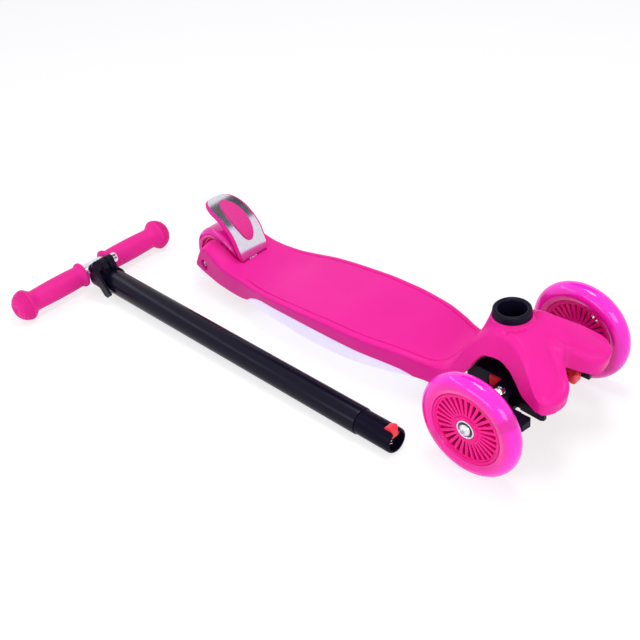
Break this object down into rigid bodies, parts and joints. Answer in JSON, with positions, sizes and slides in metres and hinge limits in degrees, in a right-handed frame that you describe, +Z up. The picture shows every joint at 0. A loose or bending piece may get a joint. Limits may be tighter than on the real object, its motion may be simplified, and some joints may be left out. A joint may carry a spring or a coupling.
{
  "type": "three-wheel kick scooter",
  "caption": "Child's kick scooter with a moulded deck, lean-steered front wheels, a foot brake over the rear wheel and a pull-out T-bar lying beside the deck.",
  "frame": {"origin": "middle of the scooter's and the lying T-bar's box, on the floor that the wheels and the T-bar stand on", "axes": "+X forward along the deck, +Y to the rider's left, +Z up"},
  "size_m": [0.7138, 0.3578, 0.1385],
  "materials": {
    "pink_plastic": "moulded, low sheen",
    "pink_rubber": "soft rubber",
    "magenta_tyre": "glossy translucent urethane",
    "pink_core": "glossy moulded",
    "black_plastic": "satin moulded",
    "black_paint": "satin powder coat",
    "red_plastic": "glossy moulded",
    "lavender_plastic": "translucent",
    "bright_steel": "zinc plated",
    "aluminium": "anodised, satin"
  },
  "bodies": {
    "deck": {"deck_body": "pink_plastic", "light_panel": "lavender_plastic", "led_strip_left": "aluminium", "led_strip_right": "aluminium", "battery_box": "black_plastic", "front_bridge": "black_plastic", "bridge_bolt_rear_left": "bright_steel", "bridge_bolt_rear_right": "bright_steel", "bridge_bolt_front_left": "bright_steel", "bridge_bolt_front_right": "bright_steel", "kingpin_left": "bright_steel", "kingpin_right": "bright_steel", "steer_stop_left": "red_plastic", "steer_stop_right": "red_plastic", "lean_buffer": "red_plastic", "lean_pin_front": "bright_steel", "lean_pin_rear": "bright_steel", "rear_washer_left": "bright_steel", "rear_washer_right": "bright_steel", "rear_axle_bolt": "bright_steel", "rear_axle_nut": "bright_steel", "brake_pin": "bright_steel", "brake_spring": "bright_steel"},
    "socket": {"steering_socket": "black_plastic"},
    "left_knuckle": {"knuckle_left": "black_plastic", "tie_bolt_left": "bright_steel", "axle_bolt_left": "bright_steel"},
    "right_knuckle": {"knuckle_right": "black_plastic", "tie_bolt_right": "bright_steel", "axle_bolt_right": "bright_steel"},
    "steering_rod": {"tie_rod": "red_plastic"},
    "left_wheel": {"wheel_core_left": "pink_core", "tyre_left": "magenta_tyre", "bearing_outer_left": "bright_steel", "bearing_inner_left": "bright_steel", "magnet_spacer_left": "bright_steel"},
    "right_wheel": {"wheel_core_right": "pink_core", "tyre_right": "magenta_tyre", "bearing_outer_right": "bright_steel", "bearing_inner_right": "bright_steel", "magnet_spacer_right": "bright_steel"},
    "rear_wheel": {"rear_core": "pink_core", "rear_tyre": "magenta_tyre", "rear_bearing_left": "bright_steel", "rear_bearing_right": "bright_steel", "rear_spacer": "aluminium"},
    "brake": {"brake_fender": "pink_plastic", "fender_plate": "aluminium", "fender_pad": "pink_rubber"},
    "column": {"column_tube": "black_paint", "column_plug": "black_plastic", "clamp_collar": "black_paint", "qr_skewer": "bright_steel", "qr_nut": "bright_steel", "catch_spring": "bright_steel"},
    "handle": {"t_handle": "aluminium", "grip_left": "pink_rubber", "grip_right": "pink_rubber"},
    "lever": {"qr_lever": "black_plastic"},
    "catch": {"release_catch": "red_plastic"}
  },
  "joints": [
    {"name": "bar_lean", "type": "hinge", "parent": "deck", "child": "socket", "pos_m": [0.26652, 0.0645, 0.112], "axis": [1, 0, 0], "range_deg": [-8.3, 8.3], "stiffness_Nm_per_rad": 15},
    {"name": "left_steer", "type": "hinge", "parent": "deck", "child": "left_knuckle", "pos_m": [0.28852, 0.1165, 0.058], "axis": [0, 0, 1], "range_deg": [-18, 18]},
    {"name": "right_steer", "type": "hinge", "parent": "deck", "child": "right_knuckle", "pos_m": [0.28852, 0.0125, 0.058], "axis": [0, 0, 1], "range_deg": [-18, 18]},
    {"name": "tie_rod_pivot", "type": "hinge", "parent": "left_knuckle", "child": "steering_rod", "pos_m": [0.25852, 0.1165, 0.0475], "axis": [0, 0, 1], "range_deg": [-18, 18]},
    {"name": "left_wheel_spin", "type": "hinge", "parent": "left_knuckle", "child": "left_wheel", "pos_m": [0.28852, 0.1645, 0.06], "axis": [0, 1, 0], "continuous": true},
    {"name": "right_wheel_spin", "type": "hinge", "parent": "right_knuckle", "child": "right_wheel", "pos_m": [0.28852, -0.0355, 0.06], "axis": [0, 1, 0], "continuous": true},
    {"name": "rear_wheel_spin", "type": "hinge", "parent": "deck", "child": "rear_wheel", "pos_m": [-0.19048, 0.0645, 0.04], "axis": [0, 1, 0], "continuous": true},
    {"name": "brake_press", "type": "hinge", "parent": "deck", "child": "brake", "pos_m": [-0.13848, 0.0645, 0.048], "axis": [0, -1, 0], "range_deg": [0, 32.3], "stiffness_Nm_per_rad": 1.2, "springref_deg": -8.59},
    {"name": "t_bar_lift", "type": "slide", "parent": "deck", "child": "column", "axis": [0, 0, 1], "range_m": [0, 0.3]},
    {"name": "stem_slide", "type": "slide", "parent": "column", "child": "handle", "axis": [-0.9998, 0.0157, 0.0103], "range_m": [0, 0.2]},
    {"name": "lever_open", "type": "hinge", "parent": "column", "child": "lever", "pos_m": [-0.29959, -0.07195, 0.04514], "axis": [-0.8005, 0.0126, -0.5992], "range_deg": [0, 110]},
    {"name": "catch_press", "type": "slide", "parent": "column", "child": "catch", "axis": [-0.0103, 0.0002, -0.9999], "range_m": [0, 0.0048], "stiffness_N_per_m": 400, "springref_m": -0.004, "deforming": ["catch_spring"]}
  ],
  "couplings": [
    {"joint": "left_steer", "follows": "bar_lean", "ratio": -2.15},
    {"joint": "right_steer", "follows": "bar_lean", "ratio": -2.15},
    {"joint": "tie_rod_pivot", "follows": "bar_lean", "ratio": 2.15}
  ]
}
